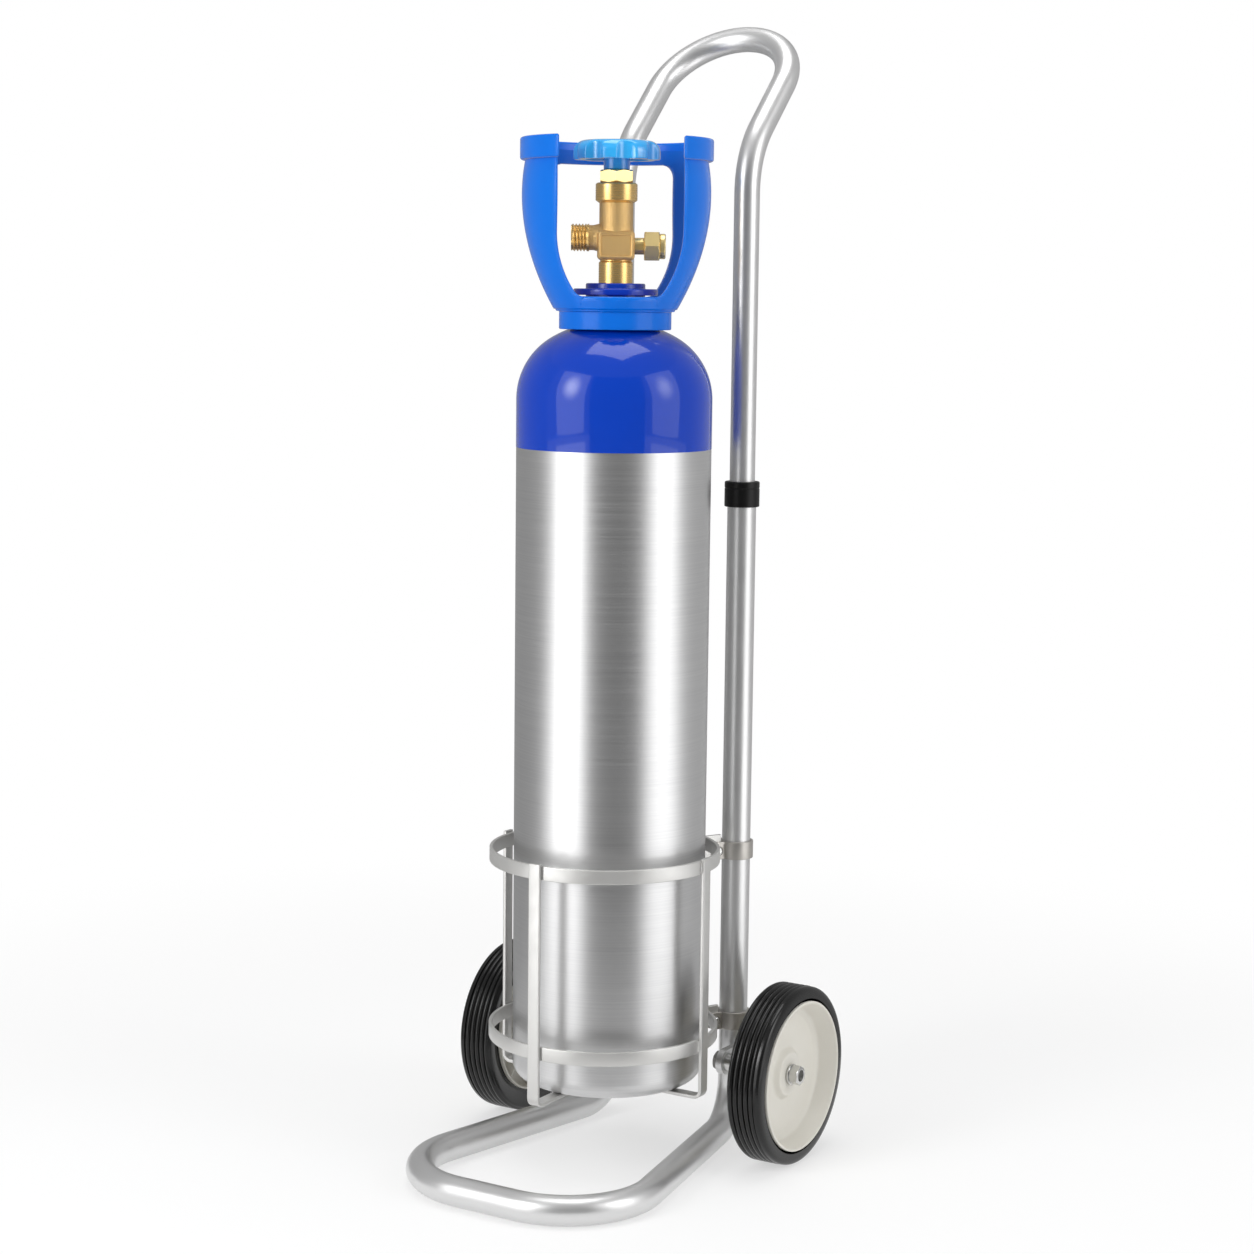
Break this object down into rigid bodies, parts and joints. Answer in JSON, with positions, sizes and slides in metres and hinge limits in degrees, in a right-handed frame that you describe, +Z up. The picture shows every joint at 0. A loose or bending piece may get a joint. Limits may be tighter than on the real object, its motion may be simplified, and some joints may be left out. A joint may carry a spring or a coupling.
{
  "type": "gas cylinder trolley",
  "caption": "Two-wheeled tube trolley with a telescopic bent handle and a flat-bar cage holding an upright valved gas cylinder with a blue guard.",
  "frame": {"origin": "On the floor under the middle of the bounding box, on the trolley's centre plane.", "axes": "+Z is up, +X runs along the wheels' axle to the right seen from the front, +Y points to the rear where the handle and wheels are."},
  "size_m": [0.3114, 0.4189, 0.9833],
  "materials": {
    "frame_tube": "satin zinc-plated steel tube",
    "handle_tube": "satin zinc-plated steel tube",
    "collar": "matt black plastic",
    "cage": "light warm-grey metallic paint on steel flat bar",
    "clip": "darker warm-grey metallic paint",
    "zinc": "bright zinc plate",
    "hub": "off-white moulded plastic",
    "tyre": "black ribbed rubber",
    "bush": "plain steel",
    "cylinder": "brushed aluminium with a royal blue gloss shoulder",
    "deep_blue": "royal blue gloss paint on aluminium",
    "seal": "black rubber",
    "guard": "bright blue moulded plastic",
    "brass": "turned and machined brass",
    "packing": "white nylon",
    "handwheel": "sky blue moulded plastic"
  },
  "bodies": {
    "frame": {"lower_frame_tube": "frame_tube", "collar_left": "collar", "collar_right": "collar", "upper_hoop": "cage", "lower_hoop": "cage", "strap_front_rear": "cage", "strap_left": "cage", "strap_right": "cage", "clip_upper_left": "clip", "clip_upper_right": "clip", "clip_lower_left": "clip", "clip_lower_right": "clip", "clip_bolts": "zinc", "clip_nuts": "zinc", "axle_bracket_left": "clip", "axle_bracket_right": "clip", "axle_bolt_left": "zinc", "axle_bolt_right": "zinc", "axle_spacers": "zinc", "axle_washers": "zinc", "axle_nuts": "zinc"},
    "handle": {"handle_tube": "handle_tube", "handle_plug_left": "collar", "handle_plug_right": "collar"},
    "wheel_left": {"wheel_hub_left": "hub", "tyre_left": "tyre", "wheel_bush_left": "bush"},
    "wheel_right": {"wheel_hub_right": "hub", "tyre_right": "tyre", "wheel_bush_right": "bush"},
    "cylinder": {"cylinder_shell": "cylinder", "neck_ring": "deep_blue", "neck_seal": "seal", "valve_guard": "guard", "valve_flange": "deep_blue", "valve_body": "brass", "valve_bonnet": "brass", "gland_packing": "packing", "gland_nut": "brass", "relief_body": "brass", "burst_disc": "zinc", "relief_cap": "brass"},
    "spindle": {"valve_spindle": "brass", "handwheel": "handwheel", "handwheel_nut": "zinc"},
    "plug": {"valve_plug": "brass", "seat_disc": "packing"}
  },
  "joints": [
    {"name": "handle_slide", "type": "slide", "parent": "frame", "child": "handle", "axis": [0, 0, 1], "range_m": [-0.24, 0]},
    {"name": "wheel_left_spin", "type": "hinge", "parent": "frame", "child": "wheel_left", "pos_m": [-0.138, 0.05595, 0.0775], "axis": [1, 0, 0], "continuous": true},
    {"name": "wheel_right_spin", "type": "hinge", "parent": "frame", "child": "wheel_right", "pos_m": [0.138, 0.05595, 0.0775], "axis": [1, 0, 0], "continuous": true},
    {"name": "cylinder_lift", "type": "slide", "parent": "frame", "child": "cylinder", "axis": [0, 0, 1], "range_m": [0, 0.26]},
    {"name": "handwheel_turn", "type": "hinge", "parent": "cylinder", "child": "spindle", "pos_m": [0, -0.01505, 0.85172], "axis": [0, 0, 1], "range_deg": [0, 720]},
    {"name": "plug_lift", "type": "slide", "parent": "spindle", "child": "plug", "axis": [0, 0, 1], "range_m": [0, 0.00502]}
  ],
  "couplings": [
    {"joint": "plug_lift", "follows": "handwheel_turn", "m_per_rad": 0.00039789}
  ]
}
